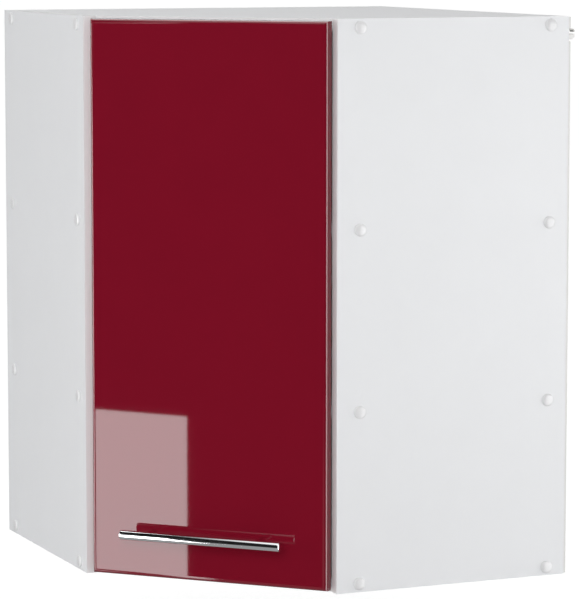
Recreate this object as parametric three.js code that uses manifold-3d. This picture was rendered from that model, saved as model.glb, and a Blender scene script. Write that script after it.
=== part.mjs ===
// Corner wall cabinet with a diagonal door on two four-bar corner hinges.
//
// Plan view: the two walls meet at the corner (wallLength, wallLength), the outer
// face of the left side panel is x = 0, that of the right one is y = 0, and the
// door closes the diagonal between their front edges. The doorway frame has its
// origin at the door's back left edge: x runs along the door to the right and y
// runs into the cabinet. Z points up from the underside.

import * as THREE from "three";
import { mergeVertices } from "three/addons/utils/BufferGeometryUtils.js";
import Module from "manifold-3d";

const wasm = await Module();
wasm.setup();

// ---- Sizes, in millimetres ----

// Case
const wallLength = 570;
const sideDepth = 325;
const height = 720;
const board = 16;
const backThickness = 3;
const backInset = 1;
const boardGap = 0.2;
const lowerShelfLevel = 229;
const upperShelfLevel = 458;
const shelfSetback = 3.5;

// Door
const doorThickness = 16;
const doorEndGap = 3;
const doorFrontGap = 2;
const doorOverlay = 0.1;
const doorEdgeRadius = 3;
const doorEdgeFacets = 4;

// Handle
const barDiameter = 12;
const barLength = 220;
const barChamfer = 0.8;
const barStandOff = 26.5;
const barHeight = 61.5;
const postSpacing = 150;
const postDiameter = 10;
const postBoreDepth = 12;
const handleScrewDiameter = 4;
const handleScrewReach = 25;
const handleScrewHeadDiameter = 8;
const handleScrewHeadHeight = 2.2;

// Panel screws and their caps
const screwDiameter = 5;
const screwLength = 50;
const screwHeadDiameter = 9;
const screwHeadHeight = 3;
const screwNeckDiameter = 6.4;
const screwNeckLength = 9;
const screwTipLength = 4;
const screwTipRoom = 1;
const socketWidth = 4.2;
const socketDepth = 2;
const socketSides = 6;
const endScrewInset = 11;
const rightScrewInsets = { front: 31, rear: 29 };
const leftScrewInsets = { front: 26, rear: 35 };
const capDiameter = 16;
const capRise = 3;
const capRim = 0.8;

// Wall hangers
const hangerHeight = 54;
const hangerDepth = 42;
const hangerWidth = 18;
const hangerCorner = 4;
const noseReach = 15;
const noseHeight = 7;
const noseWidth = 14;
const noseDrop = 14;
const noseRoot = 1;
const noseChamfer = { along: 3.5, up: 7 / 3 };
const hookReach = 16;
const hookWidth = 10;
const hookInset = 4;
const hookSheet = 2;
const hookShank = 5;
const hookRoot = 34;
const hookDrop = 24;
const hookNeck = 5;
const hookNeckRun = 3;
const hookClaw = 3;
const hookBend = 2;
const hookGap = 0.5;
const hookSteps = 8;
const notchDepth = 38;
const notchMargin = 1.5;

// Corner hinges: pin centres in the doorway frame with the door closed
const hingeInset = 100;
const hingeLevels = { lower: hingeInset, upper: height - hingeInset };
const innerArmPin = [29.45, 2.88];
const innerCupPin = [10.2, -5.46];
const outerArmPin = [37.43, 2.94];
const outerCupPin = [12.95, -1.59];
const pinDiameter = 2.2;
const pinPlay = 0.2;
const pinStubPlay = 0.1;

const cupDiameter = 35;
const cupDepth = 11.5;
const cupWall = 1;
const cupEdge = 5;
const cupFlange = 0.5;
const cupFlangeGap = 0.1;
const cupRim = 1.5;
const cupScrewSpacing = 48;
const cupScrewOffset = 6;
const cupEarDiameter = 11;
const cupScrewHole = 4;
const cupBoreFloor = 0.4;

const innerLinkWidth = 9;
const innerLinkThickness = 2;
const innerLinkSag = 4.8;
const innerLinkSteps = 8;
const linkEyeDiameter = 4.6;

const outerLinkWidth = 11.8;
const outerLinkCheek = 1;
const outerLinkThickness = 3.2;
const outerLinkSteps = 12;
const outerLinkBends = [
  [34, 1.2],
  [29.5, -1.2],
  [22, -3],
];
const slotTravel = 1.55;
const slotRise = 0.18;
const slotRadius = 1.6;
const slotWall = 0.8;

const armWidth = 15;
const armCheek = 1.4;
const armWeb = 1.2;
const armFloor = 9;
const armHeel = 4;
const armRear = 42;
const armRearTop = 18;
const armShoulder = [20, 10];
const armKnee = [22, -4];
const armToeStart = 27;
const armToeEnd = 40.2;
const armToeLow = 0.9;
const armToeHigh = 5.5;
const armWebStart = 0.3;
const armPinProud = 0.5;

const plateBase = 3;
const plateFront = 8;
const plateRear = 50;
const plateWidth = 16;
const plateEarLevel = 37;
const plateEarSpacing = 32;
const plateEarDiameter = 12;
const plateScrewHole = 5;
const ridgeWidth = 11;
const ridgeFront = 12;
const ridgeRear = 40;
const ridgeRoot = 0.5;

// Play between pieces
const turnedGap = 0.3;
const holePlay = 0.3;
const seatGap = 0.3;

// How far a cutting tool passes the face that it opens, how much smaller it is
// where it meets a round wall of its own size, and when two corners are one
const overshoot = 1;
const hair = 0.01;
const weldDistance = 1e-4;

// Facets round a full circle
const fineSides = 32;
const sides = 16;
const coarseSides = 12;

// ---- Sizes that follow ----

const edge = Math.SQRT1_2;
const frontEdge = wallLength - sideDepth;
const boardRear = wallLength - backThickness - boardGap;
const doorWidth = (frontEdge - board) / edge + 2 * doorOverlay;
const doorHeight = height - 2 * doorEndGap;
const doorBackPlane = board * edge - doorFrontGap;
const cornerInDoorway = [doorOverlay, doorFrontGap];
const barRadius = barDiameter / 2;
const cupRadius = cupDiameter / 2;
const cupCentre = cupEdge + cupRadius;
const hangerTop = height - board - boardGap;
const hangerInner = board + boardGap;
const noseLow = hangerTop - noseDrop;
const noseHigh = noseLow + noseHeight;

// ---- Materials ----

const whiteBoard = { color: 0xe6e7e9, roughness: 0.45, metalness: 0 };
const redGloss = { color: 0x781124, roughness: 0.18, metalness: 0 };
const whitePlastic = { color: 0xf0f0f0, roughness: 0.35, metalness: 0 };
const hardboard = { color: 0xe2e1dc, roughness: 0.6, metalness: 0 };
const chrome = { color: 0xc9c9c9, roughness: 0.12, metalness: 1 };
const nickel = { color: 0xb4b2ad, roughness: 0.3, metalness: 1 };
const zinc = { color: 0x8d8f90, roughness: 0.4, metalness: 1 };
const darkSteel = { color: 0x55565a, roughness: 0.45, metalness: 1 };

// ---- Shape helpers ----

function solidFrom(geometry) {
  const bare = geometry.clone();
  bare.deleteAttribute("normal");
  bare.deleteAttribute("uv");
  const merged = mergeVertices(bare, weldDistance);
  const vertProperties = merged.attributes.position.array;
  const triVerts = new Uint32Array(merged.index.array);
  return new wasm.Manifold(new wasm.Mesh({ numProp: 3, vertProperties, triVerts }));
}

function geometryFrom(solid) {
  const { vertProperties, triVerts } = solid.getMesh();
  const geometry = new THREE.BufferGeometry();
  geometry.setAttribute("position", new THREE.BufferAttribute(vertProperties, 3));
  geometry.setIndex(new THREE.BufferAttribute(triVerts, 1));
  const faceted = geometry.toNonIndexed();
  faceted.computeVertexNormals();
  return faceted;
}

function join(...geometries) {
  return geometryFrom(geometries.map(solidFrom).reduce((whole, piece) => whole.add(piece)));
}

function cut(geometry, ...tools) {
  const start = solidFrom(geometry);
  return geometryFrom(tools.map(solidFrom).reduce((rest, tool) => rest.subtract(tool), start));
}

function keepWithin(geometry, region) {
  return geometryFrom(solidFrom(geometry).intersect(solidFrom(region)));
}

function piece(name, geometry, finish) {
  const mesh = new THREE.Mesh(geometry, new THREE.MeshStandardMaterial(finish));
  mesh.name = name;
  return mesh;
}

// A block between two opposite corners.
function block(low, high) {
  const size = high.map((value, axis) => value - low[axis]);
  const middle = high.map((value, axis) => (value + low[axis]) / 2);
  return new THREE.BoxGeometry(...size).translate(...middle);
}

// A plan outline raised from one level to another.
function slab(outline, low, high) {
  const shape = new THREE.Shape(outline.map(([x, y]) => new THREE.Vector2(x, y)));
  const settings = { depth: high - low, bevelEnabled: false, steps: 1 };
  return new THREE.ExtrudeGeometry(shape, settings).translate(0, 0, low);
}

// An outline in x and z, thickened along y.
function upright(outline, near, far) {
  return slab(outline, 0, far - near).rotateX(Math.PI / 2).translate(0, far, 0);
}

// A straight round bar from one point to another.
function rod(radius, from, to, facets = coarseSides) {
  const start = new THREE.Vector3(...from);
  const end = new THREE.Vector3(...to);
  const along = end.clone().sub(start);
  const turn = new THREE.Quaternion().setFromUnitVectors(
    new THREE.Vector3(0, 1, 0),
    along.clone().normalize(),
  );
  const centre = start.add(end).multiplyScalar(0.5);
  return new THREE.CylinderGeometry(radius, radius, along.length(), facets)
    .applyQuaternion(turn)
    .translate(centre.x, centre.y, centre.z);
}

// A turned piece: its profile lists radius and height, and its axis lies along +Y.
function turned(profile, facets) {
  const points = profile.map(([radius, level]) => new THREE.Vector2(radius, level));
  return new THREE.LatheGeometry(points, facets);
}

// The outline of a strip of even width along a smooth line through points.
function band(line, width, steps) {
  const curve = new THREE.SplineCurve(line.map(([x, y]) => new THREE.Vector2(x, y)));
  return ribbon([curve], width, steps);
}

// The outline of a strip of even width along curves that follow each other.
function ribbon(curves, width, steps) {
  const left = [];
  const right = [];
  for (const curve of curves) {
    const count = curve.isLineCurve ? 1 : steps;
    for (let step = left.length ? 1 : 0; step <= count; step++) {
      const point = curve.getPointAt(step / count);
      const along = curve.getTangentAt(step / count);
      left.push([point.x - (along.y * width) / 2, point.y + (along.x * width) / 2]);
      right.push([point.x + (along.y * width) / 2, point.y - (along.x * width) / 2]);
    }
  }
  return [...right, ...left.reverse()];
}

// ---- Case ----

// The plan of the horizontal boards, between the side panels and the backs.
function boardPlan() {
  const side = board + boardGap;
  const front = frontEdge + (doorBackPlane + shelfSetback) / edge - side;
  return [
    [side, front],
    [front, side],
    [boardRear, side],
    [boardRear, boardRear],
    [side, boardRear],
  ];
}

// Screw places along a side panel, for the rows and columns of that side.
function screwPlaces(insets) {
  const levels = {
    bottom: endScrewInset,
    lower_shelf: lowerShelfLevel,
    upper_shelf: upperShelfLevel,
    top: height - endScrewInset,
  };
  const columns = { front: frontEdge + insets.front, rear: wallLength - insets.rear };
  const places = [];
  for (const [row, level] of Object.entries(levels)) {
    for (const [column, along] of Object.entries(columns)) {
      places.push({ label: row + "_" + column, along, level });
    }
  }
  return places;
}

// The holes of one panel screw, along +Y from the outer face at y = 0.
function screwBores({ along, level }) {
  const bore = (diameter, from, to) =>
    rod(diameter / 2 + holePlay, [along, from, level], [along, to, level]);
  return [
    bore(screwHeadDiameter, -overshoot, screwHeadHeight + holePlay),
    bore(screwNeckDiameter, 0, board + boardGap),
    bore(screwDiameter, 0, screwLength + screwTipRoom),
  ];
}

// A horizontal board, with the blind holes that the screws of both sides enter.
function caseBoard(name, centre, row) {
  const inThisRow = ({ label }) => label.startsWith(row);
  const fromRight = screwPlaces(rightScrewInsets).filter(inThisRow).flatMap(screwBores);
  const fromLeft = screwPlaces(leftScrewInsets)
    .filter(inThisRow)
    .flatMap(screwBores)
    .map((bore) => bore.scale(1, -1, 1).rotateZ(Math.PI / 2));
  const plain = slab(boardPlan(), centre - board / 2, centre + board / 2);
  return piece(name, cut(plain, ...fromRight, ...fromLeft.map(reversed)), whiteBoard);
}

// A mirrored geometry has its faces inside out, so each triangle is turned round.
function reversed(geometry) {
  const index = geometry.index.array;
  for (let corner = 0; corner < index.length; corner += 3) {
    [index[corner], index[corner + 1]] = [index[corner + 1], index[corner]];
  }
  return geometry;
}

// The right-hand back covers the wall x = wallLength, the left-hand one y = wallLength.
function rightBack() {
  const far = wallLength - backThickness - boardGap;
  const low = [wallLength - backThickness, backInset, backInset];
  const sheet = block(low, [wallLength, far, height - backInset]);
  return piece("back_right", cut(sheet, hookNotch()), hardboard);
}

function leftBack() {
  const low = [backInset, wallLength - backThickness, backInset];
  const sheet = block(low, [wallLength, wallLength, height - backInset]);
  const notch = reversed(hookNotch().scale(1, -1, 1).rotateZ(Math.PI / 2));
  return piece("back_left", cut(sheet, notch), hardboard);
}

// The notch in a back's edge, through which a wall hanger reaches out.
function hookNotch() {
  return block(
    [wallLength - 2 * backThickness, -overshoot, noseLow - notchMargin],
    [wallLength + overshoot, notchDepth, hangerTop],
  );
}

// ---- One side: panel, screws, caps and wall hanger, on the right-hand side ----

function sidePanel(name, places) {
  const plain = block([frontEdge, 0, 0], [boardRear, board, height]);
  return piece(name, cut(plain, ...places.flatMap(screwBores)), whiteBoard);
}

// A panel screw along +Y, its head sunk level with the outer face.
function panelScrew(name, { along, level }) {
  const neck = screwHeadHeight + screwNeckLength;
  const shaft = turned(
    [
      [0, 0],
      [screwHeadDiameter / 2, 0],
      [screwNeckDiameter / 2, screwHeadHeight],
      [screwNeckDiameter / 2, neck],
      [screwDiameter / 2, neck],
      [screwDiameter / 2, screwLength - screwTipLength],
      [0, screwLength],
    ],
    coarseSides,
  );
  const socket = rod(socketWidth / 2, [0, -overshoot, 0], [0, socketDepth, 0], socketSides);
  return piece(name, cut(facingOutward(shaft), socket).translate(along, 0, level), zinc);
}

// A profile drawn towards +Y gives faces that point inwards; this turns them out.
function facingOutward(geometry) {
  return solidFrom(geometry).volume() < 0 ? reversed(geometry) : geometry;
}

// A domed cap over a screw head, on the outer face and rising towards -Y.
function screwCap(name, { along, level }) {
  const arcSteps = 4;
  const profile = [
    [0, 0],
    [capDiameter / 2, 0],
  ];
  for (let step = 0; step <= arcSteps; step++) {
    const angle = (step / arcSteps) * (Math.PI / 2);
    const rise = capRim + (capRise - capRim) * Math.sin(angle);
    profile.push([(capDiameter / 2) * Math.cos(angle), rise]);
  }
  profile[profile.length - 1][0] = 0;
  const cap = facingOutward(turned(profile, sides)).rotateX(Math.PI);
  return piece(name, cap.translate(along, 0, level), whitePlastic);
}

// The hanger housing sits in the rear top corner, with its nose through the notch.
function hangerHousing(name) {
  const rear = boardRear;
  const front = rear - hangerDepth;
  const low = hangerTop - hangerHeight;
  const body = upright(
    [
      [front + hangerCorner, low],
      [rear, low],
      [rear, hangerTop],
      [front, hangerTop],
      [front, low + hangerCorner],
    ],
    hangerInner,
    hangerInner + hangerWidth,
  );
  const noseTip = wallLength + noseReach;
  const nose = upright(
    [
      [rear - noseRoot, noseLow],
      [noseTip - noseChamfer.along, noseLow],
      [noseTip, noseLow + noseChamfer.up],
      [noseTip, noseHigh],
      [rear - noseRoot, noseHigh],
    ],
    hangerInner + (hangerWidth - noseWidth) / 2,
    hangerInner + (hangerWidth + noseWidth) / 2,
  );
  const near = hangerInner + hookInset - hookGap;
  const far = hangerInner + hookInset + hookWidth + hookGap;
  const above = hangerTop + overshoot;
  const slot = block(
    [rear - hookRoot - hookGap, near, hangerTop - hookDrop - hookGap],
    [rear - hookShank, far, above],
  );
  const mouth = block([rear - hookShank - overshoot, near, noseHigh], [noseTip + overshoot, far, above]);
  return piece(name, cut(join(body, nose), slot, mouth), whitePlastic);
}

// The steel hook: a bent strip that stands in the housing's slot, leaves it over
// the nose, rises behind the cabinet and ends in a claw that points down.
function hangerHook(name) {
  const foot = boardRear - hookRoot + hookSheet / 2;
  const shank = noseHigh + hookGap + hookSheet / 2;
  const neck = wallLength + hookNeck;
  const arm = hangerTop - hookGap - hookSheet / 2;
  const claw = wallLength + hookReach - hookSheet / 2;
  const line = new THREE.Path();
  line.moveTo(foot, hangerTop - hookDrop);
  line.lineTo(foot, shank - hookBend);
  line.quadraticCurveTo(foot, shank, foot + hookBend, shank);
  line.lineTo(neck - hookNeckRun, shank);
  line.bezierCurveTo(neck, shank, neck, arm, neck + hookNeckRun, arm);
  line.lineTo(claw - hookBend, arm);
  line.quadraticCurveTo(claw, arm, claw, arm - hookBend);
  line.lineTo(claw, arm - hookClaw);
  const outline = ribbon(line.curves, hookSheet, hookSteps);
  const near = hangerInner + hookInset;
  return piece(name, upright(outline, near, near + hookWidth), darkSteel);
}

function side(label, insets) {
  const places = screwPlaces(insets);
  const group = new THREE.Group();
  group.add(sidePanel("side_" + label, places));
  for (const place of places) {
    group.add(panelScrew("screw_" + label + "_" + place.label, place));
    group.add(screwCap("cap_" + label + "_" + place.label, place));
  }
  group.add(hangerHousing("hanger_housing_" + label));
  group.add(hangerHook("hanger_hook_" + label));
  return group;
}

// ---- Door and handle, in the doorway frame ----

function postPlaces() {
  return { left: (doorWidth - postSpacing) / 2, right: (doorWidth + postSpacing) / 2 };
}

// The front edges are rounded by the extrusion's bevel, and the back is cut square.
function door() {
  const radius = doorEdgeRadius;
  const face = [
    [radius, doorEndGap + radius],
    [doorWidth - radius, doorEndGap + radius],
    [doorWidth - radius, doorEndGap + doorHeight - radius],
    [radius, doorEndGap + doorHeight - radius],
  ];
  const shape = new THREE.Shape(face.map(([x, z]) => new THREE.Vector2(x, z)));
  const leaf = new THREE.ExtrudeGeometry(shape, {
    depth: doorThickness,
    bevelSize: radius,
    bevelThickness: radius,
    bevelSegments: doorEdgeFacets,
    steps: 1,
  })
    .rotateX(Math.PI / 2)
    .translate(0, radius, 0);
  const whole = block(
    [-overshoot, -doorThickness - overshoot, 0],
    [doorWidth + overshoot, 0, height],
  );
  const cupBores = Object.values(hingeLevels).map((level) =>
    rod(
      cupRadius + holePlay,
      [cupCentre, -cupDepth - cupBoreFloor, level],
      [cupCentre, overshoot, level],
      fineSides,
    ),
  );
  const screwHoles = Object.values(postPlaces()).map((along) =>
    rod(
      handleScrewDiameter / 2 + holePlay,
      [along, -doorThickness - overshoot, barHeight],
      [along, overshoot, barHeight],
    ),
  );
  return piece("door", cut(keepWithin(leaf, whole), ...cupBores, ...screwHoles), redGloss);
}

function handleBar() {
  const profile = [
    [0, 0],
    [barRadius - barChamfer, 0],
    [barRadius, barChamfer],
    [barRadius, barLength - barChamfer],
    [barRadius - barChamfer, barLength],
    [0, barLength],
  ];
  const bar = facingOutward(turned(profile, fineSides))
    .rotateZ(-Math.PI / 2)
    .translate((doorWidth - barLength) / 2, -doorThickness - barStandOff, barHeight);
  return piece("handle_bar", bar, chrome);
}

// A post is saddled to the bar at one end and bored for its screw at the other.
function handlePost(name, along) {
  const foot = -doorThickness - seatGap;
  const barAxis = -doorThickness - barStandOff;
  const post = rod(postDiameter / 2, [along, foot, barHeight], [along, barAxis, barHeight], sides);
  const reach = postDiameter;
  const saddle = rod(
    barRadius + turnedGap,
    [along - reach, barAxis, barHeight],
    [along + reach, barAxis, barHeight],
    fineSides,
  );
  const bore = rod(
    handleScrewDiameter / 2 + holePlay,
    [along, foot - postBoreDepth, barHeight],
    [along, foot + overshoot, barHeight],
  );
  return piece(name, cut(post, saddle, bore), chrome);
}

function handleScrew(name, along) {
  const shank = rod(
    handleScrewDiameter / 2,
    [along, seatGap + handleScrewHeadHeight / 2, barHeight],
    [along, seatGap - handleScrewReach, barHeight],
  );
  const head = rod(
    handleScrewHeadDiameter / 2,
    [along, seatGap, barHeight],
    [along, seatGap + handleScrewHeadHeight, barHeight],
    sides,
  );
  return piece(name, join(shank, head), zinc);
}

// ---- Corner hinge ----

const pinRadius = pinDiameter / 2;

// A pin or hole along Z at a pin centre.
function upPin([x, y], radius, low, high) {
  return rod(radius, [x, y, low], [x, y, high]);
}

// The height at which the cup's inner wall passes a point along the door.
function cupChord(along) {
  return Math.sqrt((cupRadius - cupWall) ** 2 - (cupCentre - along) ** 2);
}

// The cup in the door: a pressed bowl with two screw ears and the pins of both links.
function hingeCup(name) {
  const inner = cupRadius - cupWall;
  const bowl = facingOutward(
    turned(
      [
        [0, -cupDepth],
        [cupRadius - cupRim, -cupDepth],
        [cupRadius, cupRim - cupDepth],
        [cupRadius, cupFlange],
        [inner, cupFlange],
        [inner, cupWall - cupDepth],
        [0, cupWall - cupDepth],
      ],
      fineSides,
    ),
  ).translate(cupCentre, 0, 0);
  const disc = (radius, along, level) =>
    rod(radius, [along, cupFlangeGap, level], [along, cupFlange, level], sides);
  const earAlong = cupCentre + cupScrewOffset;
  const earLevels = [-cupScrewSpacing / 2, cupScrewSpacing / 2];
  const ears = earLevels.map((level) => disc(cupEarDiameter / 2, earAlong, level));
  const strip = block(
    [earAlong - cupEarDiameter / 2, cupFlangeGap, -cupScrewSpacing / 2],
    [earAlong + cupEarDiameter / 2, cupFlange, cupScrewSpacing / 2],
  );
  const rimDisc = rod(
    cupRadius + cupRim,
    [cupCentre, cupFlangeGap, 0],
    [cupCentre, cupFlange, 0],
    fineSides,
  );
  const mouth = rod(
    inner - hair,
    [cupCentre, -cupWall, 0],
    [cupCentre, overshoot, 0],
    fineSides,
  );
  const earHoles = earLevels.map((level) =>
    rod(cupScrewHole / 2, [earAlong, -overshoot, level], [earAlong, overshoot, level]),
  );
  const flange = cut(join(rimDisc, strip, ...ears), mouth, ...earHoles);
  const pinSink = cupWall / 2;
  const innerEnd = cupChord(innerCupPin[0]) + pinSink;
  const outerEnd = cupChord(outerCupPin[0]) + pinSink;
  const stubStart = outerLinkWidth / 2 - outerLinkCheek - pinStubPlay;
  return piece(
    name,
    join(
      bowl,
      flange,
      upPin(innerCupPin, pinRadius, -innerEnd, innerEnd),
      upPin(outerCupPin, pinRadius, stubStart, outerEnd),
      upPin(outerCupPin, pinRadius, -outerEnd, -stubStart),
    ),
    nickel,
  );
}

// The inner link: a bowed strip with an eye at each end.
function innerLink(name) {
  const [x0, y0] = innerCupPin;
  const [x1, y1] = innerArmPin;
  const length = Math.hypot(x1 - x0, y1 - y0);
  const middle = [
    (x0 + x1) / 2 + (innerLinkSag * (y1 - y0)) / length,
    (y0 + y1) / 2 - (innerLinkSag * (x1 - x0)) / length,
  ];
  const half = innerLinkWidth / 2;
  const shape = band([innerCupPin, middle, innerArmPin], innerLinkThickness, innerLinkSteps);
  const strip = slab(shape, -half, half);
  const eyes = [innerCupPin, innerArmPin].map((pin) => upPin(pin, linkEyeDiameter / 2, -half, half));
  const holes = [innerCupPin, innerArmPin].map((pin) =>
    upPin(pin, pinRadius + pinPlay, -half - overshoot, half + overshoot),
  );
  return piece(name, cut(join(strip, ...eyes), ...holes), nickel);
}

// A round-ended slot along the door, as an outline of a given radius.
function slotOutline([x, y], radius) {
  const steps = 6;
  const outline = [];
  for (const end of [1, -1]) {
    for (let step = 0; step <= steps; step++) {
      const angle = (step / steps - 0.5) * Math.PI;
      outline.push([
        x + end * (slotTravel + radius * Math.cos(angle)),
        y + slotRise + end * radius * Math.sin(angle),
      ]);
    }
  }
  return outline;
}

// The outer link: two cheeks that pass under the inner link's pin, joined by a
// barrel whose slot takes up the small play of the arm's second pin.
function outerLink(name) {
  const half = outerLinkWidth / 2;
  const line = [outerCupPin, ...[...outerLinkBends].reverse(), outerArmPin];
  const shape = band(line, outerLinkThickness, outerLinkSteps);
  const cheeks = [
    [-half, outerLinkCheek - half],
    [half - outerLinkCheek, half],
  ];
  const walls = cheeks.map(([low, high]) => slab(shape, low, high));
  const eyes = cheeks.map(([low, high]) => upPin(outerCupPin, linkEyeDiameter / 2, low, high));
  const barrel = slab(slotOutline(outerArmPin, slotRadius + slotWall), -half, half);
  const reach = half + overshoot;
  const hole = upPin(outerCupPin, pinRadius + pinPlay, -reach, reach);
  const slot = slab(slotOutline(outerArmPin, slotRadius), -reach, reach);
  return piece(name, cut(join(barrel, ...walls, ...eyes), hole, slot), nickel);
}

// ---- Hinge pieces on the left panel: x runs off the panel, y back from its edge ----

// A point of the doorway frame, in the panel's own frame.
function onPanel([along, inward]) {
  const x = along - cornerInDoorway[0];
  const y = inward - cornerInDoorway[1];
  return [(x + y) * edge, (y - x) * edge];
}

// How far off the panel the arm's top lies, on its straight rear part.
function armTopAt(back) {
  const share = (back - armShoulder[1]) / (armRear - armShoulder[1]);
  return armShoulder[0] + share * (armRearTop - armShoulder[0]);
}

// The arm: a channel of two cheeks and a web, cranked forward to the link pins.
function hingeArm(name) {
  const half = armWidth / 2;
  const toeTop = onPanel([armToeEnd, armToeHigh]);
  const cheek = [
    [armFloor, armRear],
    [armFloor, armHeel],
    onPanel([armToeStart, armToeLow]),
    onPanel([armToeEnd, armToeLow]),
    toeTop,
    armKnee,
    armShoulder,
    [armRearTop, armRear],
  ];
  const webStart = [
    armKnee[0] + armWebStart * (toeTop[0] - armKnee[0]),
    armKnee[1] + armWebStart * (toeTop[1] - armKnee[1]),
  ];
  const top = [webStart, armKnee, armShoulder, [armRearTop, armRear]];
  const underside = top.map(([x, y]) => [x - armWeb, y]).reverse();
  const walls = [
    slab(cheek, -half, armCheek - half),
    slab(cheek, half - armCheek, half),
  ];
  const web = slab([...top, ...underside], -half, half);
  const pinEnd = half + armPinProud;
  const pins = [innerArmPin, outerArmPin].map((pin) =>
    upPin(onPanel(pin), pinRadius, -pinEnd, pinEnd),
  );
  return piece(name, join(web, ...walls, ...pins), nickel);
}

// The mounting plate: a base with two screw ears, and a ridge that the arm rides on.
function hingePlate(name) {
  const base = block(
    [boardGap, plateFront, -plateWidth / 2],
    [plateBase, plateRear, plateWidth / 2],
  );
  const earLevels = [-plateEarSpacing / 2, plateEarSpacing / 2];
  const ears = earLevels.map((level) =>
    rod(
      plateEarDiameter / 2,
      [boardGap, plateEarLevel, level],
      [plateBase, plateEarLevel, level],
      sides,
    ),
  );
  const strap = block(
    [boardGap, plateEarLevel - plateEarDiameter / 2, -plateEarSpacing / 2],
    [plateBase, plateEarLevel + plateEarDiameter / 2, plateEarSpacing / 2],
  );
  const drop = armWeb + seatGap;
  const ridge = slab(
    [
      [plateBase - ridgeRoot, ridgeFront],
      [armTopAt(ridgeFront) - drop, ridgeFront],
      [armTopAt(ridgeRear) - drop, ridgeRear],
      [plateBase - ridgeRoot, ridgeRear],
    ],
    -ridgeWidth / 2,
    ridgeWidth / 2,
  );
  const holes = earLevels.map((level) =>
    rod(
      plateScrewHole / 2,
      [-overshoot, plateEarLevel, level],
      [plateBase + overshoot, plateEarLevel, level],
    ),
  );
  return piece(name, cut(join(base, strap, ridge, ...ears), ...holes), nickel);
}

// ---- Assembly ----

// The doorway frame, turned 45 degrees so that its x runs along the door.
const doorway = new THREE.Group();
const doorwayLeft = (frontEdge - doorWidth * edge) / 2 + doorBackPlane * edge;
const doorwayBack = (frontEdge + doorWidth * edge) / 2 + doorBackPlane * edge;
doorway.rotation.z = -Math.PI / 4;
doorway.position.set(doorwayLeft, doorwayBack, 0);
doorway.add(door(), handleBar());
for (const [label, along] of Object.entries(postPlaces())) {
  doorway.add(handlePost("handle_post_" + label, along));
  doorway.add(handleScrew("handle_screw_" + label, along));
}

// The left panel's inner face at its front edge, where the hinges are mounted.
const panelFace = new THREE.Group();
panelFace.position.set(board, frontEdge, 0);

for (const [label, level] of Object.entries(hingeLevels)) {
  const onDoor = new THREE.Group();
  onDoor.position.z = level;
  onDoor.add(hingeCup("hinge_cup_" + label));
  onDoor.add(innerLink("hinge_inner_link_" + label));
  onDoor.add(outerLink("hinge_outer_link_" + label));
  doorway.add(onDoor);
  const onFace = new THREE.Group();
  onFace.position.z = level;
  onFace.add(hingeArm("hinge_arm_" + label));
  onFace.add(hingePlate("hinge_plate_" + label));
  panelFace.add(onFace);
}

// The left side is the right side mirrored across the cabinet's diagonal.
const rightSide = side("right", rightScrewInsets);
const leftSide = side("left", leftScrewInsets);
leftSide.scale.y = -1;
leftSide.rotation.z = Math.PI / 2;

// The exported frame has its origin under the middle of the whole cabinet.
const middle = (wallLength + hookReach - capRise) / 2;
const cabinet = new THREE.Group();
cabinet.position.set(-middle, -middle, 0);
cabinet.add(leftSide, rightSide);
cabinet.add(
  caseBoard("panel_bottom", board / 2, "bottom"),
  caseBoard("shelf_lower", lowerShelfLevel, "lower_shelf"),
  caseBoard("shelf_upper", upperShelfLevel, "upper_shelf"),
  caseBoard("panel_top", height - board / 2, "top"),
  leftBack(),
  rightBack(),
);
cabinet.add(doorway, panelFace);

const group = new THREE.Group();
group.add(cabinet);

export default group;
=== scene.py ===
import math

import bmesh
import bpy
from mathutils import Matrix, Vector

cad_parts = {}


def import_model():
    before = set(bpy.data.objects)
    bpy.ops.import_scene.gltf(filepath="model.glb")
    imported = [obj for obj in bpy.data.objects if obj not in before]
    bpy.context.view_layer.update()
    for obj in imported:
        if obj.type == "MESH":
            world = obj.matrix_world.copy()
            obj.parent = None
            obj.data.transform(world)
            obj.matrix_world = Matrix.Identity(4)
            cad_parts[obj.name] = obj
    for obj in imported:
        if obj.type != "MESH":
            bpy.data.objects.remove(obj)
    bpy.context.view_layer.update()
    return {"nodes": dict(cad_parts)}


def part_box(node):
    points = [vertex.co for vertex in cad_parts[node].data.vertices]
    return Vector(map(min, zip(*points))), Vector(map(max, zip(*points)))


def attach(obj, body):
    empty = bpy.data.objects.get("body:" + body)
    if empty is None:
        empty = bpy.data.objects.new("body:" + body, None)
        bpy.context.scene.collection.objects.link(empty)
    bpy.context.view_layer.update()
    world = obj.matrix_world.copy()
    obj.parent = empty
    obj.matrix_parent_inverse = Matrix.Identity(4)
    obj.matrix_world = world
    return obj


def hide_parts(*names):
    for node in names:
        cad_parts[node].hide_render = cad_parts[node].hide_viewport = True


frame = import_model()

NODES = frame["nodes"]
MM = 0.001
DIAGONAL = math.sqrt(0.5)


def node_low(name):
    return Vector(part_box(name)[0])


def node_high(name):
    return Vector(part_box(name)[1])


# ---- Places taken from the frame, and the door's own measures, in metres ----

DOOR_THICK = 16 * MM
CAD_EDGE_RADIUS = 3 * MM
DOOR_LOW, DOOR_HIGH = node_low("door"), node_high("door")
CORNER_LOSS = CAD_EDGE_RADIUS * (math.sqrt(2) - 1)
DOOR_ORIGIN = Vector((DOOR_LOW.x + DOOR_THICK * DIAGONAL - CORNER_LOSS, DOOR_HIGH.y, 0))
DOOR_WIDTH = (DOOR_HIGH.x - DOOR_ORIGIN.x) / DIAGONAL
DOORWAY = Matrix.Translation(DOOR_ORIGIN) @ Matrix.Rotation(-math.pi / 4, 4, "Z")
ALONG = Vector((DIAGONAL, -DIAGONAL, 0))
INWARD = Vector((DIAGONAL, DIAGONAL, 0))


# ---- Shader maths ----


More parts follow.
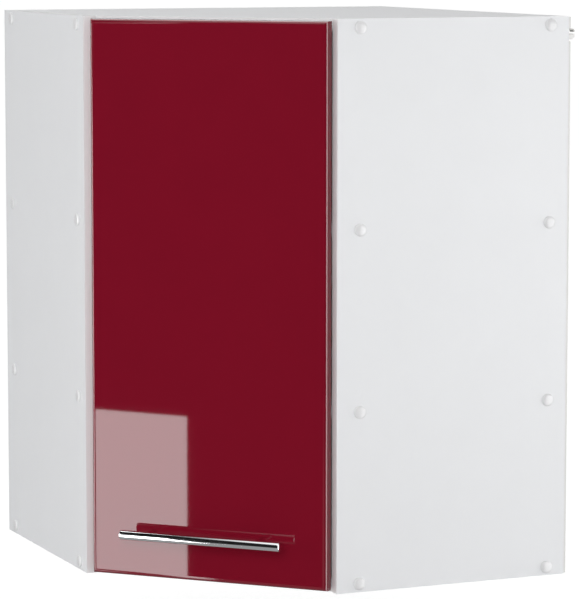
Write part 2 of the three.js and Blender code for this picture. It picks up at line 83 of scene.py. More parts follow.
class Value:
    """A socket of a node tree, so that shader maths reads as plain expressions."""

    def __init__(self, finish, socket):
        self.finish = finish
        self.socket = socket

    def maths(self, operation, other):
        sockets = {0: self, 1: other}
        return self.finish.node("ShaderNodeMath", {"operation": operation}, sockets)

    def __add__(self, other):
        return self.maths("ADD", other)

    __radd__ = __add__

    def __mul__(self, other):
        return self.maths("MULTIPLY", other)

    __rmul__ = __mul__


class Finish:
    """A material or world under construction."""

    def __init__(self, owner):
        owner.use_nodes = True
        self.owner = owner
        self.tree = owner.node_tree
        self.tree.nodes.clear()

    def node(self, kind, settings=None, values=None, output=0):
        made = self.tree.nodes.new(kind)
        for key, setting in (settings or {}).items():
            setattr(made, key, setting)
        for key, value in (values or {}).items():
            if isinstance(value, Value):
                self.tree.links.new(value.socket, made.inputs[key])
            else:
                made.inputs[key].default_value = value
        return Value(self, made.outputs[output]) if made.outputs else made

    def place(self):
        return self.node("ShaderNodeTexCoord", output="Object")

    def noise(self, grain, detail, roughness=0.5):
        """Cloudy noise with a grain given in metres."""
        values = {
            "Vector": self.place(),
            "Scale": 1 / grain,
            "Detail": detail,
            "Roughness": roughness,
        }
        return self.node("ShaderNodeTexNoise", {}, values)

    def mix(self, share, first, second):
        values = {0: share, 6: first, 7: second}
        return self.node("ShaderNodeMix", {"data_type": "RGBA"}, values, output=2)

    def fade(self, value, start, end):
        """A smooth step from 0 at start to 1 at end."""
        values = {"Value": value, "From Min": start, "From Max": end}
        return self.node("ShaderNodeMapRange", {"interpolation_type": "SMOOTHSTEP"}, values)

    def bump(self, relief, depth, strength):
        values = {"Height": relief, "Distance": depth, "Strength": strength}
        return self.node("ShaderNodeBump", {}, values, output="Normal")

    def surface(self, **values):
        named = {key.replace("_", " "): value for key, value in values.items()}
        shader = self.node("ShaderNodeBsdfPrincipled", {}, named)
        self.node("ShaderNodeOutputMaterial", {}, {"Surface": shader})
        return self.owner


def srgb(red, green, blue):
    """The linear colour of an 8-bit screen colour."""

    def linear(level):
        share = level / 255
        return share / 12.92 if share <= 0.04045 else ((share + 0.055) / 1.055) ** 2.4

    return (linear(red), linear(green), linear(blue), 1.0)


def shifted(colour, factor):
    return tuple(min(1.0, channel * factor) for channel in colour[:3]) + (1.0,)


def new_finish(name):
    return Finish(bpy.data.materials.new(name))


# ---- Finishes ----


def melamine(name):
    finish = new_finish(name)
    colour = srgb(233, 234, 236)
    cloud = finish.noise(45 * MM, 3.0)
    pearl = finish.noise(0.9 * MM, 2.0)
    tone = finish.mix(cloud, shifted(colour, 0.985), shifted(colour, 1.012))
    return finish.surface(
        Base_Color=tone,
        Roughness=0.40 + 0.08 * pearl,
        Normal=finish.bump(pearl, 0.02 * MM, 0.35),
    )


def edge_band_painted_light():
    finish = new_finish("edge_band_painted_light")
    # The band is whiter than the face melamine: partly the band's own colour, partly painted
    # light that lifts the edge strips beside and above the door as if more brightly lit.
    colour = srgb(244, 244, 245)
    streak = finish.noise(1.6 * MM, 1.0)
    return finish.surface(
        Base_Color=finish.mix(streak, shifted(colour, 0.985), colour),
        Roughness=0.30 + 0.06 * streak,
        Normal=finish.bump(streak, 0.01 * MM, 0.3),
    )


def red_gloss():
    finish = new_finish("red_gloss_foil")
    colour = srgb(123, 16, 36)
    cloud = finish.noise(60 * MM, 2.0)
    ripple = finish.noise(2.2 * MM, 1.0)
    return finish.surface(
        Base_Color=finish.mix(cloud, shifted(colour, 0.97), shifted(colour, 1.03)),
        Roughness=0.028 + 0.01 * ripple,
        Normal=finish.bump(ripple, 0.002 * MM, 0.25),
    )


def raw_fibreboard():
    finish = new_finish("raw_fibreboard")
    fibre = finish.noise(0.35 * MM, 4.0, 0.7)
    tone = finish.mix(fibre, srgb(128, 98, 66), srgb(174, 142, 104))
    return finish.surface(
        Base_Color=tone,
        Roughness=0.75 + 0.2 * fibre,
        Normal=finish.bump(fibre, 0.08 * MM, 0.6),
    )


def hardboard():
    finish = new_finish("lacquered_hardboard")
    colour = srgb(229, 229, 227)
    felt = finish.noise(0.7 * MM, 4.0, 0.7)
    cloud = finish.noise(80 * MM, 2.0)
    return finish.surface(
        Base_Color=finish.mix(cloud, shifted(colour, 0.97), colour),
        Roughness=0.55 + 0.15 * felt,
        Normal=finish.bump(felt, 0.05 * MM, 0.5),
    )


def plastic(name, colour, roughness):
    finish = new_finish(name)
    fine = finish.noise(0.5 * MM, 2.0)
    return finish.surface(
        Base_Color=finish.mix(fine, shifted(colour, 0.98), colour),
        Roughness=roughness + 0.08 * fine,
        Normal=finish.bump(fine, 0.01 * MM, 0.3),
    )


def metal(name, colour, roughness, grain, wear=0.06):
    finish = new_finish(name)
    fine = finish.noise(grain, 3.0, 0.6)
    return finish.surface(
        Base_Color=finish.mix(fine, shifted(colour, 1 - wear), colour),
        Metallic=1.0,
        Roughness=roughness + 0.5 * roughness * fine,
        Normal=finish.bump(fine, 0.004 * MM, 0.3),
    )


WHITE_BOARD = melamine("white_melamine")
BAND_WITH_PAINTED_LIGHT = edge_band_painted_light()
DOOR_BACK = melamine("door_back_melamine")
RED_GLOSS = red_gloss()
FIBREBOARD = raw_fibreboard()
HARDBOARD = hardboard()
CAP_PLASTIC = plastic("cap_plastic", srgb(232, 232, 233), 0.24)
HANGER_PLASTIC = plastic("hanger_plastic", srgb(241, 240, 239), 0.34)
CHROME = metal("polished_chrome", srgb(226, 227, 229), 0.06, 3 * MM, 0.02)
NICKEL = metal("nickel_plate", srgb(206, 203, 197), 0.22, 1.2 * MM)
ZINC = metal("zinc_plate", srgb(176, 180, 184), 0.32, 0.8 * MM)
DARK_STEEL = metal("dark_steel", srgb(138, 138, 136), 0.38, 0.8 * MM)


# ---- Mesh helpers ----

WELD_DISTANCE = 0.001 * MM
FLAT_ANGLE = math.radians(0.5)
SHARP_ANGLE = math.radians(32)


def new_object(name, data):
    made = bpy.data.objects.new(name, data)
    bpy.context.scene.collection.objects.link(made)
    return made


def add_piece(name, mesh, finishes):
    piece = new_object(name, mesh)
    for finish in finishes:
        mesh.materials.append(finish)
    return piece


def mount(piece, body, slot, *nodes):
    """Lets a finished piece ride on a body and hides the nodes it stands for. The slot is not
    used.
    """
    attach(piece, body)
    if nodes:
        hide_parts(*nodes)


def mesh_from(bm, name):
    mesh = bpy.data.meshes.new(name)
    bmesh.ops.recalc_face_normals(bm, faces=bm.faces)
    bm.to_mesh(mesh)
    bm.free()
    return mesh


def settle(piece):
    """Turns a piece with modifiers into a plain mesh at the origin."""
    shown = piece.evaluated_get(bpy.context.evaluated_depsgraph_get())
    mesh = bpy.data.meshes.new_from_object(shown)
    piece.modifiers.clear()
    piece.data = mesh
    return piece


def smooth(piece):
    """Smooth shading in which the large flat faces stay flat."""
    piece.data.shade_smooth()
    piece.data.set_sharp_from_angle(angle=SHARP_ANGLE)
    weigh = piece.modifiers.new("flat_faces", "WEIGHTED_NORMAL")
    weigh.mode = "FACE_AREA"
    weigh.weight = 100
    weigh.keep_sharp = True
    return settle(piece)


def bevelled(piece, width, segments=2):
    bevel = piece.modifiers.new("edges", "BEVEL")
    bevel.width = width
    bevel.segments = segments
    bevel.limit_method = "ANGLE"
    bevel.angle_limit = SHARP_ANGLE
    return settle(piece)


def node_copy(node, name):
    """A merged copy of a node's mesh, with its flat faces whole."""
    bm = bmesh.new()
    bm.from_mesh(NODES[node].data)
    bmesh.ops.remove_doubles(bm, verts=bm.verts, dist=WELD_DISTANCE)
    bmesh.ops.dissolve_limit(bm, angle_limit=FLAT_ANGLE, verts=bm.verts, edges=bm.edges)
    mesh = bpy.data.meshes.new(name)
    bm.to_mesh(mesh)
    bm.free()
    return mesh


def dressed_node(node, body, slot, finish, width, segments=2):
    """A node's own shape with its edges broken, standing for the node."""
    name = node + "_dressed"
    piece = add_piece(name, node_copy(node, name), [finish])
    bevelled(piece, width, segments)
    mount(smooth(piece), body, slot, node)


def turned(profile, steps):
    """A bmesh turned round Z from a profile of (radius, height) pairs."""
    bm = bmesh.new()
    verts = [bm.verts.new((radius, 0, level)) for radius, level in profile]
    edges = [bm.edges.new(pair) for pair in zip(verts, verts[1:])]
    turn = {"axis": (0, 0, 1), "cent": (0, 0, 0), "angle": 2 * math.pi}
    bmesh.ops.spin(bm, geom=verts + edges, steps=steps, **turn)
    bmesh.ops.remove_doubles(bm, verts=bm.verts, dist=WELD_DISTANCE)
    return bm


def drum(radius, start, end, steps):
    """A plain cutting cylinder between two points."""
    length = (end - start).length
    bm = turned([(0, 0), (radius, 0), (radius, length), (0, length)], steps)
    turn = (end - start).to_track_quat("Z", "Y").to_matrix().to_4x4()
    bm.transform(Matrix.Translation(start) @ turn)
    return new_object("cutter", mesh_from(bm, "cutter"))


def cut_away(piece, tools):
    """Cuts the tools out of a piece and takes them away."""
    for tool in tools:
        trim = piece.modifiers.new("cut", "BOOLEAN")
        trim.operation = "DIFFERENCE"
        trim.solver = "EXACT"
        trim.object = tool
    settle(piece)
    for tool in tools:
        bpy.data.objects.remove(tool)
    return piece


def in_doorway(along, inward, level):
    """A point given from the door's back left edge: along it, into the cabinet and up."""
    return DOORWAY @ Vector((along, inward, level))


# ---- Copies by Geometry Nodes ----


def scatter_tree():
    """A tree that sets a piece at every point, its Z turned to the point's facing."""
    tree = bpy.data.node_groups.new("set_at_points", "GeometryNodeTree")
    face = tree.interface
    face.new_socket("Points", in_out="INPUT", socket_type="NodeSocketGeometry")
    face.new_socket("Piece", in_out="INPUT", socket_type="NodeSocketObject")
    face.new_socket("Finish", in_out="INPUT", socket_type="NodeSocketMaterial")
    face.new_socket("Geometry", in_out="OUTPUT", socket_type="NodeSocketGeometry")

    def add(kind, **settings):
        node = tree.nodes.new(kind)
        for key, setting in settings.items():
            setattr(node, key, setting)
        return node

    start = add("NodeGroupInput")
    end = add("NodeGroupOutput")
    source = add("GeometryNodeObjectInfo")
    facing = add("GeometryNodeInputNamedAttribute", data_type="FLOAT_VECTOR")
    facing.inputs["Name"].default_value = "facing"
    turn = add("FunctionNodeAlignRotationToVector", axis="Z")
    place = add("GeometryNodeInstanceOnPoints")
    real = add("GeometryNodeRealizeInstances")
    paint = add("GeometryNodeSetMaterial")
    join = tree.links.new
    join(start.outputs["Points"], place.inputs["Points"])
    join(start.outputs["Piece"], source.inputs["Object"])
    join(source.outputs["Geometry"], place.inputs["Instance"])
    join(facing.outputs["Attribute"], turn.inputs["Vector"])
    join(turn.outputs["Rotation"], place.inputs["Rotation"])
    join(place.outputs["Instances"], real.inputs["Geometry"])
    join(real.outputs["Geometry"], paint.inputs["Geometry"])
    join(start.outputs["Finish"], paint.inputs["Material"])
    join(paint.outputs["Geometry"], end.inputs["Geometry"])
    return tree


SET_AT_POINTS = scatter_tree()


def set_at(name, master_mesh, places, finish):
    """One piece made of a copy of a mesh at each (point, facing) pair."""
    master = new_object(name + "_master", master_mesh)
    mesh = bpy.data.meshes.new(name)
    mesh.from_pydata([point for point, _ in places], [], [])
    facing = mesh.attributes.new("facing", "FLOAT_VECTOR", "POINT")
    for item, (_, direction) in zip(facing.data, places):
        item.vector = direction
    piece = new_object(name, mesh)
    copies = piece.modifiers.new("copies", "NODES")
    copies.node_group = SET_AT_POINTS
    names = {item.name: item.identifier for item in SET_AT_POINTS.interface.items_tree}
    copies[names["Piece"]] = master
    copies[names["Finish"]] = finish
    settle(piece)
    bpy.data.objects.remove(master)
    return smooth(piece)


# ---- Case ----

BOARD_EDGE = 1.1 * MM
SHEET_EDGE = 0.15 * MM
# The axis across each board
BOARDS = {
    "side_left": 0,
    "side_right": 1,
    "panel_bottom": 2,
    "shelf_lower": 2,
    "shelf_upper": 2,
    "panel_top": 2,
}


def case_board(node, thin_axis):
    """A board with melamine faces, banded edges and slightly broken corners."""
    name = node + "_board"
    piece = add_piece(name, node_copy(node, name), [WHITE_BOARD, BAND_WITH_PAINTED_LIGHT])
    for face in piece.data.polygons:
        face.material_index = 0 if abs(face.normal[thin_axis]) > 0.9 else 1
    bevelled(piece, BOARD_EDGE)
    mount(smooth(piece), "carcass", "case_board", node)


def back_sheet(node):
    dressed_node(node, "carcass", "back_sheet", HARDBOARD, SHEET_EDGE)


# ---- Screw caps ----

CAP_RADIUS = 8 * MM
CAP_RISE = 3 * MM
CAP_RIM = 0.8 * MM
CAP_FOOT_BREAK = 0.15 * MM


def cap_mesh():
    """A flattish domed cap with a soft shoulder over its rim."""
    steps, fullness = 16, 0.8
    profile = [
        (0, 0),
        (CAP_RADIUS - CAP_FOOT_BREAK, 0),
        (CAP_RADIUS, CAP_FOOT_BREAK + 0.05 * MM),
        (CAP_RADIUS, CAP_RIM),
    ]
    for step in range(1, steps + 1):
        angle = step / steps * math.pi / 2
        rise = CAP_RIM + (CAP_RISE - CAP_RIM) * math.sin(angle) ** fullness
        profile.append((CAP_RADIUS * max(0.0, math.cos(angle)) ** fullness, rise))
    return mesh_from(turned(profile, 48), "cap")


def screw_caps():
    places = []
    nodes = sorted(name for name in NODES if name.startswith("cap_"))
    for name in nodes:
        low, high = node_low(name), node_high(name)
        outer = Vector((-1, 0, 0)) if "_left_" in name else Vector((0, -1, 0))
        foot = (low + high) / 2 - outer * abs(outer.dot(high - low)) / 2
        places.append((foot, outer))
    piece = set_at("screw_caps", cap_mesh(), places, CAP_PLASTIC)
    mount(piece, "carcass", "cap_plastic", *nodes)


# ---- Door ----

DOOR_EDGE_RADIUS = 6 * MM
DOOR_BACK_BREAK = 0.4 * MM
HANDLE_BORE_RADIUS = 2.3 * MM
CUTTER_OVERSHOOT = 5 * MM


def door_leaf():
    """The door with its rounded front edges, cup bores and handle holes."""
    bm = bmesh.new()
    bmesh.ops.create_cube(bm, size=1.0)
    size = Vector((DOOR_WIDTH, DOOR_THICK, DOOR_HIGH.z - DOOR_LOW.z))
    middle = Vector((DOOR_WIDTH / 2, -DOOR_THICK / 2, (DOOR_HIGH.z + DOOR_LOW.z) / 2))
    bm.transform(Matrix.Translation(middle) @ Matrix.Diagonal((*size, 1)))
    front = [e for e in bm.edges if all(v.co.y < -DOOR_THICK / 2 for v in e.verts)]
    round_off = {"affect": "EDGES", "profile": 0.5}
    bmesh.ops.bevel(bm, geom=front, offset=DOOR_EDGE_RADIUS, segments=12, **round_off)
    back = [e for e in bm.edges if all(v.co.y > -0.01 * MM for v in e.verts)]
    bmesh.ops.bevel(bm, geom=back, offset=DOOR_BACK_BREAK, segments=2, **round_off)
    bm.transform(DOORWAY)
    finishes = [RED_GLOSS, DOOR_BACK, FIBREBOARD]
    piece = add_piece("door_leaf", mesh_from(bm, "door_leaf"), finishes)
    tools = []
    for cup in ("hinge_cup_lower", "hinge_cup_upper"):
        level = (node_low(cup).z + node_high(cup).z) / 2
        start = in_doorway(CUP_CENTRE, -CUP_BORE_DEPTH, level)
        end = in_doorway(CUP_CENTRE, CUTTER_OVERSHOOT, level)
        tools.append(drum(CUP_BORE_RADIUS, start, end, 96))
    for along in POST_PLACES:
        start = in_doorway(along, -DOOR_THICK - CUTTER_OVERSHOOT, BAR_LEVEL)
        end = in_doorway(along, CUTTER_OVERSHOOT, BAR_LEVEL)
        tools.append(drum(HANDLE_BORE_RADIUS, start, end, 32))
    cut_away(piece, tools)
    margin = DOOR_EDGE_RADIUS + MM
    for face in piece.data.polygons:
        at = DOORWAY.inverted() @ face.center
        facing = face.normal.dot(INWARD)
        within = min(at.x, DOOR_WIDTH - at.x, at.z - DOOR_LOW.z, DOOR_HIGH.z - at.z) > margin
        if facing > 0.5 and at.y > -0.5 * MM:
            face.material_index = 1
        elif within and facing > -0.5:
            face.material_index = 2
    mount(smooth(piece), "door", "door_front", "door")


# ---- Handle ----

BAR_RADIUS = 6 * MM
BAR_LENGTH = 220 * MM
BAR_END_RADIUS = 2.2 * MM
BAR_LEVEL = (node_low("handle_bar").z + node_high("handle_bar").z) / 2
BAR_STAND_OFF = 26.5 * MM
BAR_AXIS = -DOOR_THICK - BAR_STAND_OFF
BAR_TO_SADDLE = 0.02 * MM
POST_RADIUS = 5 * MM
POST_FOOT_GAP = 0.05 * MM
POST_FOOT_BREAK = 0.3 * MM
POST_SPACING = 150 * MM
POST_PLACES = ((DOOR_WIDTH - POST_SPACING) / 2, (DOOR_WIDTH + POST_SPACING) / 2)


def handle_bar():
    """A turned bar with softly rounded rims."""
    rim, steps = BAR_END_RADIUS, 8
    profile = [(0, 0)]
    for end, sense in ((0, 1), (BAR_LENGTH, -1)):
        arc = []
        for step in range(steps + 1):
            angle = step / steps * math.pi / 2
            radius = BAR_RADIUS - rim + rim * math.sin(angle)
            arc.append((radius, end + sense * rim * (1 - math.cos(angle))))
        profile += arc if sense > 0 else arc[::-1]
    profile.append((0, BAR_LENGTH))
    bm = turned(profile, 96)
    start = Vector(((DOOR_WIDTH - BAR_LENGTH) / 2, BAR_AXIS, BAR_LEVEL))
    turn = Matrix.Rotation(math.pi / 2, 4, "Y")
    bm.transform(DOORWAY @ Matrix.Translation(start) @ turn)
    piece = add_piece("handle_bar_turned", mesh_from(bm, "handle_bar_turned"), [CHROME])
    mount(smooth(piece), "door", "handle_chrome", "handle_bar")


def handle_post(node, along):
    """A round post with a broken foot rim and a saddle for the bar."""
    foot = -DOOR_THICK - POST_FOOT_GAP
    length = foot - BAR_AXIS
    profile = [
        (0, 0),
        (POST_RADIUS - POST_FOOT_BREAK, 0),
        (POST_RADIUS, POST_FOOT_BREAK),
        (POST_RADIUS, length),
        (0, length),
    ]
    bm = turned(profile, 64)
    turn = Matrix.Rotation(math.pi / 2, 4, "X")
    bm.transform(DOORWAY @ Matrix.Translation((along, foot, BAR_LEVEL)) @ turn)
    name = node + "_turned"
    piece = add_piece(name, mesh_from(bm, name), [CHROME])
    reach = 2 * POST_RADIUS
    start = in_doorway(along - reach, BAR_AXIS, BAR_LEVEL)
    end = in_doorway(along + reach, BAR_AXIS, BAR_LEVEL)
    cut_away(piece, [drum(BAR_RADIUS + BAR_TO_SADDLE, start, end, 96)])
    mount(smooth(piece), "door", "handle_chrome", node)


# ---- Hinges and hangers ----

CUP_CENTRE = 22.5 * MM
CUP_BORE_RADIUS = 17.7 * MM
CUP_BORE_DEPTH = 11.9 * MM
HINGE_EDGE = 0.12 * MM
HOUSING_EDGE = 0.8 * MM
HOOK_EDGE = 0.2 * MM
HINGE_BODIES = {
    "hinge_cup": "door",
    "hinge_inner_link": "inner_links",
    "hinge_outer_link": "outer_links",
    "hinge_arm": "carcass",
    "hinge_plate": "carcass",
}


def hinges():
    for kind, body in HINGE_BODIES.items():
        for place in ("lower", "upper"):
            dressed_node(f"{kind}_{place}", body, "hinge_nickel", NICKEL, HINGE_EDGE)


def hangers():
    for hand in ("left", "right"):
        housing, hook = f"hanger_housing_{hand}", f"hanger_hook_{hand}"
        dressed_node(housing, "carcass", "hanger_plastic", HANGER_PLASTIC, HOUSING_EDGE, 3)
        dressed_node(hook, "carcass", "hook_steel", DARK_STEEL, HOOK_EDGE)


# ---- Small fastenings ----

HEAD_RADIUS = 3.4 * MM
HEAD_RIM = 0.5 * MM
HEAD_RISE = 1.9 * MM
CROSS_REACH = 2.0 * MM
CROSS_HALF_WIDTH = 0.36 * MM
CROSS_FLOOR = 0.7 * MM
CROSS_TAPER = 0.5

PLATE_TO_PANEL = 0.3 * MM
PANEL_FRONT_TO_PLATE = 8 * MM
PLATE_SCREW_SEAT = 3 * MM
PLATE_SCREW_BACK = 37 * MM
PLATE_SCREW_RISE = 16 * MM
# (from the panel's front edge, above the panel's face) on the arm's sloping web
ARM_SCREWS = ((17 * MM, 19.56 * MM), (35 * MM, 18.44 * MM))
ARM_FACING = Vector((16, 1, 0)).normalized()
CUP_SCREW_OFFSET = 6 * MM
CUP_SCREW_SEAT = 0.5 * MM
CUP_SCREW_RISE = 24 * MM
# (from the housing's front edge, above its lower edge)
HANGER_SCREWS = ((9 * MM, 12 * MM), (31 * MM, 12 * MM))

NAIL_RADIUS = 2.1 * MM
NAIL_RIM = 0.15 * MM
NAIL_RISE = 0.6 * MM
NAIL_SPACING = 105 * MM
NAIL_TO_EDGE = 8 * MM


def dome_profile(radius, rim, rise, steps):
    profile = [(0, 0), (radius, 0), (radius, rim)]
    for step in range(1, steps + 1):
        angle = step / steps * math.pi / 2
        profile.append((radius * math.cos(angle), rim + (rise - rim) * math.sin(angle)))
    return profile


def cross_tool():
    """A tapered cross that cuts the recess of a screw head."""
    reach, half = CROSS_REACH, CROSS_HALF_WIDTH
    quarter = [(reach, half), (half, half), (half, reach)]
    outline = []
    for turn in range(4):
        for x, y in quarter:
            for _ in range(turn):
                x, y = -y, x
            outline.append((x, y))
    bm = bmesh.new()
    low = [bm.verts.new((x * CROSS_TAPER, y * CROSS_TAPER, CROSS_FLOOR)) for x, y in outline]
    high = [bm.verts.new((x, y, HEAD_RISE + MM)) for x, y in outline]
    bm.faces.new(low)
    bm.faces.new(high)
    count = len(outline)
    for at in range(count):
        after = (at + 1) % count
        bm.faces.new((low[at], low[after], high[after], high[at]))
    return new_object("cutter", mesh_from(bm, "cutter"))


def screw_head():
    """A low round head with a cross recess, seated at Z = 0."""
    profile = dome_profile(HEAD_RADIUS, HEAD_RIM, HEAD_RISE, 8)
    head = new_object("screw_head", mesh_from(turned(profile, 32), "screw_head"))
    cut_away(head, [cross_tool()])
    mesh = head.data
    bpy.data.objects.remove(head)
    return mesh


def plate_screws():
    """Two screws in the ears of each mounting plate, and two on each hinge arm."""
    places = []
    for hinge in ("lower", "upper"):
        plate_low = node_low(f"hinge_plate_{hinge}")
        level = (plate_low.z + node_high(f"hinge_plate_{hinge}").z) / 2
        panel = plate_low.x - PLATE_TO_PANEL
        front = plate_low.y - PANEL_FRONT_TO_PLATE
        for rise in (-PLATE_SCREW_RISE, PLATE_SCREW_RISE):
            seat = Vector((panel + PLATE_SCREW_SEAT, front + PLATE_SCREW_BACK, level + rise))
            places.append((seat, Vector((1, 0, 0))))
        for back, top in ARM_SCREWS:
            places.append((Vector((panel + top, front + back, level)), ARM_FACING))
    return places


def cup_screws():
    places = []
    for hinge in ("lower", "upper"):
        cup = f"hinge_cup_{hinge}"
        level = (node_low(cup).z + node_high(cup).z) / 2
        for rise in (-CUP_SCREW_RISE, CUP_SCREW_RISE):
            seat = in_doorway(CUP_CENTRE + CUP_SCREW_OFFSET, CUP_SCREW_SEAT, level + rise)
            places.append((seat, INWARD))
    return places


def housing_screws():
    """Two screws in the inner face of each wall hanger."""
    places = []
    low, high = node_low("hanger_housing_right"), node_high("hanger_housing_right")
    for back, rise in HANGER_SCREWS:
        at = Vector((low.x + back, high.y, low.z + rise))
        places.append((at, Vector((0, 1, 0))))
        places.append((Vector((at.y, at.x, at.z)), Vector((1, 0, 0))))
    return places


def spaced(start, end):
    """Places at the nails' spacing from start to before end."""
    count = math.ceil((end - start) / NAIL_SPACING)
    return [start + step * NAIL_SPACING for step in range(count)]


def back_nails():
    """Nails through the back sheets into the boards and the side panels."""
    places = []
    low, high = node_low("back_right"), node_high("back_right")
    for board in (name for name, thin_axis in BOARDS.items() if thin_axis == 2):
        level = (node_low(board).z + node_high(board).z) / 2
        for across in spaced(low.y + 60 * MM, high.y - 20 * MM):
            places.append((across, level))
    for rise in spaced(low.z + 40 * MM, high.z - 60 * MM):
        places.append((low.y + NAIL_TO_EDGE, rise))
    right = [(Vector((high.x, y, z)), Vector((1, 0, 0))) for y, z in places]
    left = [(Vector((x, high.x, z)), Vector((0, 1, 0))) for x, z in places]
    return right + left


def fastenings():
    case_places = plate_screws() + housing_screws()
    mount(set_at("case_screws", screw_head(), case_places, ZINC), "carcass", "screw_zinc")
    mount(set_at("cup_screws", screw_head(), cup_screws(), ZINC), "door", "screw_zinc")
    nail = mesh_from(turned(dome_profile(NAIL_RADIUS, NAIL_RIM, NAIL_RISE, 4), 16), "nail")
    mount(set_at("back_nails", nail, back_nails(), ZINC), "carcass", "screw_zinc")


def plain_nodes():
    """The screws keep their own solids and get their metal."""
    for name, node in NODES.items():
        if name.startswith(("screw_", "handle_screw_")):
            node.data.materials.clear()
            node.data.materials.append(ZINC)


# ---- Stage: floor, light and camera ----

CAMERA_AT = Vector((-1.60900, -3.77656, 0.82729))
CAMERA_AZIMUTH = math.radians(23.258)
CAMERA_PITCH = math.radians(6.245)
CAMERA_ROLL = math.radians(0.02)
PHOTO_LONG_SIDE = 599
FOCAL_PIXELS = 3097.5
SENSOR = 36.0
AXIS_ABOVE_CENTRE = 0.0493


def camera():
    data = bpy.data.cameras.new("camera")
    data.sensor_width = SENSOR
    data.lens = FOCAL_PIXELS / PHOTO_LONG_SIDE * SENSOR
    data.shift_y = -AXIS_ABOVE_CENTRE
    data.clip_start, data.clip_end = 0.05, 200
    seat = new_object("camera", data)
    seat.location = CAMERA_AT
    level = math.pi / 2 - CAMERA_PITCH
    turn = Matrix.Rotation(-CAMERA_AZIMUTH, 4, "Z") @ Matrix.Rotation(level, 4, "X")
    seat.rotation_euler = (turn @ Matrix.Rotation(CAMERA_ROLL, 4, "Z")).to_euler()
    bpy.context.scene.camera = seat


def floor():
    """A pale floor below the cabinet, clear from below so that the underside shows."""
    reach, level = 60, -0.1
    corners = [(-reach, -reach), (reach, -reach), (reach, reach), (-reach, reach)]
    mesh = bpy.data.meshes.new("floor")
    mesh.from_pydata([(x, y, level) for x, y in corners], [], [range(4)])
    finish = new_finish("pale_floor")
    path = finish.node("ShaderNodeLightPath", output="Is Camera Ray")
    matt = finish.node("ShaderNodeBsdfDiffuse", {}, {"Color": (0.80, 0.80, 0.80, 1)})
    seen = finish.node("ShaderNodeBsdfDiffuse", {}, {"Color": (0.30, 0.30, 0.30, 1)})
    glow = finish.node("ShaderNodeEmission", {}, {"Color": (1, 1, 1, 1), "Strength": 0.89})
    pale = finish.node("ShaderNodeAddShader", {}, {0: seen, 1: glow})
    upper = finish.node("ShaderNodeMixShader", {}, {0: path, 1: matt, 2: pale})
    clear = finish.node("ShaderNodeBsdfTransparent")
    below = finish.node("ShaderNodeNewGeometry", output="Backfacing")
    shader = finish.node("ShaderNodeMixShader", {}, {0: below, 1: upper, 2: clear})
    finish.node("ShaderNodeOutputMaterial", {}, {"Surface": shader})
    mesh.materials.append(finish.owner)
    piece = new_object("floor", mesh)
    piece.visible_glossy = False


def glow_card(name, corners, strength, fade=None):
    """A bright card that only mirror reflections see. fade gives (axis, start, end)."""
    mesh = bpy.data.meshes.new(name)
    mesh.from_pydata(corners, [], [range(len(corners))])
    finish = new_finish(name)
    if fade:
        axis, start, end = fade
        values = {0: finish.place(), 1: axis}
        along = finish.node("ShaderNodeVectorMath", {"operation": "DOT_PRODUCT"}, values, "Value")
        strength = strength * finish.fade(along, start, end)
    shader = finish.node("ShaderNodeEmission", {}, {"Color": (1, 1, 1, 1), "Strength": strength})
    finish.node("ShaderNodeOutputMaterial", {}, {"Surface": shader})
    mesh.materials.append(finish.owner)
    piece = new_object(name, mesh)
    piece.visible_camera = False
    piece.visible_diffuse = False
    piece.visible_shadow = False
    piece.visible_transmission = False


def door_card():
    """The pale card whose mirror image lies in the door's lower left corner."""
    away = -DOOR_THICK - 600 * MM
    middle = DOOR_WIDTH / 2
    left, right = middle - 470 * MM, middle - 291 * MM
    top_left, top_right, low = 114.5 * MM, 111.6 * MM, -400 * MM
    corners = [(left, low), (right, low), (right, top_right), (left, top_left)]
    glow_card("door_card", [in_doorway(along, away, level) for along, level in corners], 7.0)


CARD_LEAN = 0.2


def bar_card():
    """A far tall card, a white band in the left part of the bar that fades to the right."""
    away = -DOOR_THICK - 6.0
    edge = [(-2.67, 0.75), (-2.71, 1.3), (-3.05, 3.5), (-3.54, 5.4)]
    corners = [(-4.4, 0.75)] + edge + [(-4.4, 5.4)]
    places = [in_doorway(along, away, level) for along, level in corners]
    glow_card("bar_card", places, 1.6, ((ALONG.x, ALONG.y, CARD_LEAN), -2.6, -2.92))


def ceiling_card():
    """The ceiling light: it fades out above the left end of the bar."""
    low, high, level = -2.4, 2.4, 2.0
    corners = [(low, low, level), (high, low, level), (high, high, level), (low, high, level)]
    glow_card("ceiling_card", corners, 1.5, (tuple(ALONG), -0.92, -0.66))


def crown_card():
    """The light over the cabinet that the door's top edge mirrors."""
    level, near, deep, left, right = 1.9, 0.12, 1.1, -0.9, 0.0
    corners = [(left, near), (right, near), (right, deep), (left, deep)]
    glow_card("crown_card", [in_doorway(along, inward, level) for along, inward in corners], 4.5)


# Heading, half width in degrees, distance, lower and upper edge, strength
UPRIGHT_CARDS = {
    "right_card": (-45, 22, 3.0, -1.6, 0.9, 6.2),
    "left_card": (158, 18, 3.0, -1.4, 0.9, 6.5),
    "rim_card": (97, 11, 4.0, 1.7, 4.2, 6.0),
}


def upright_card(name, heading, spread, distance, low, high, strength):
    """A card that faces the object from a compass heading, in degrees from +X."""
    corners = []
    for turn, level in ((-1, low), (1, low), (1, high), (-1, high)):
        angle = math.radians(heading + turn * spread)
        corners.append((distance * math.cos(angle), distance * math.sin(angle), level))
    glow_card(name, corners, strength)


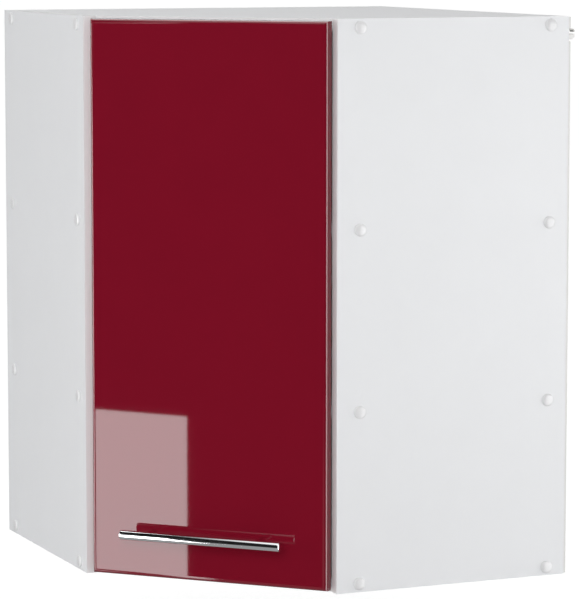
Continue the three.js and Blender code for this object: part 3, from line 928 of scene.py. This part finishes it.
def world():
    scene_world = bpy.data.worlds.new("studio")
    bpy.context.scene.world = scene_world
    finish = Finish(scene_world)
    from_camera = finish.node("ShaderNodeLightPath", output="Is Camera Ray")
    from_gloss = finish.node("ShaderNodeLightPath", output="Is Glossy Ray")
    direction = finish.node("ShaderNodeTexCoord", output="Generated")
    rise = finish.node("ShaderNodeSeparateXYZ", {}, {0: direction}, output="Z")
    heading = {0: direction, 1: (math.sin(CAMERA_AZIMUTH), math.cos(CAMERA_AZIMUTH), 0)}
    behind = finish.node("ShaderNodeVectorMath", {"operation": "DOT_PRODUCT"}, heading, "Value")
    ground = finish.fade(rise, -0.20, -0.32)
    back_wall = finish.fade(behind, 0.30, 0.60) * finish.fade(rise, -0.25, 0.0)
    high_wall = finish.fade(behind, 0.30, 0.60) * finish.fade(rise, 0.18, 0.32)
    level = 0.012 + 0.36 * ground + 0.3 * back_wall + 1.2 * high_wall
    soft = finish.node("ShaderNodeBackground", {}, {"Color": (1, 1, 1, 1), "Strength": 0.43})
    mirror = finish.node("ShaderNodeBackground", {}, {"Color": (1, 1, 1, 1), "Strength": level})
    white = finish.node("ShaderNodeBackground", {}, {"Color": (1, 1, 1, 1), "Strength": 1.0})
    lit = finish.node("ShaderNodeMixShader", {}, {0: from_gloss, 1: soft, 2: mirror})
    shader = finish.node("ShaderNodeMixShader", {}, {0: from_camera, 1: lit, 2: white})
    finish.node("ShaderNodeOutputWorld", {}, {"Surface": shader})


def soft_box(name, place, aim, width, height, power):
    data = bpy.data.lights.new(name, "AREA")
    data.shape = "RECTANGLE"
    data.size, data.size_y = width, height
    data.energy = power
    lamp = new_object(name, data)
    lamp.location = place
    lamp.rotation_euler = (Vector(aim) - Vector(place)).to_track_quat("-Z", "Y").to_euler()
    lamp.visible_camera = False
    lamp.visible_glossy = False
    return lamp


def lights():
    middle = (0, 0, 0.36)
    soft_box("front_box", (-1.9, -2.9, 1.3), middle, 1.8, 1.8, 47)
    soft_box("right_box", (2.7, -0.9, 0.6), middle, 1.0, 1.2, 22)
    soft_box("left_box", (-3.15, 0.35, 0.4), middle, 1.4, 1.8, 18)


# ---- Assembly ----

for node, thin_axis in BOARDS.items():
    case_board(node, thin_axis)
back_sheet("back_left")
back_sheet("back_right")
screw_caps()
door_leaf()
handle_bar()
handle_post("handle_post_left", POST_PLACES[0])
handle_post("handle_post_right", POST_PLACES[1])
hinges()
hangers()
fastenings()
plain_nodes()

bpy.context.scene.view_settings.view_transform = "Standard"
camera()
floor()
door_card()
bar_card()
ceiling_card()
crown_card()
for name, sizes in UPRIGHT_CARDS.items():
    upright_card(name, *sizes)
world()
lights()
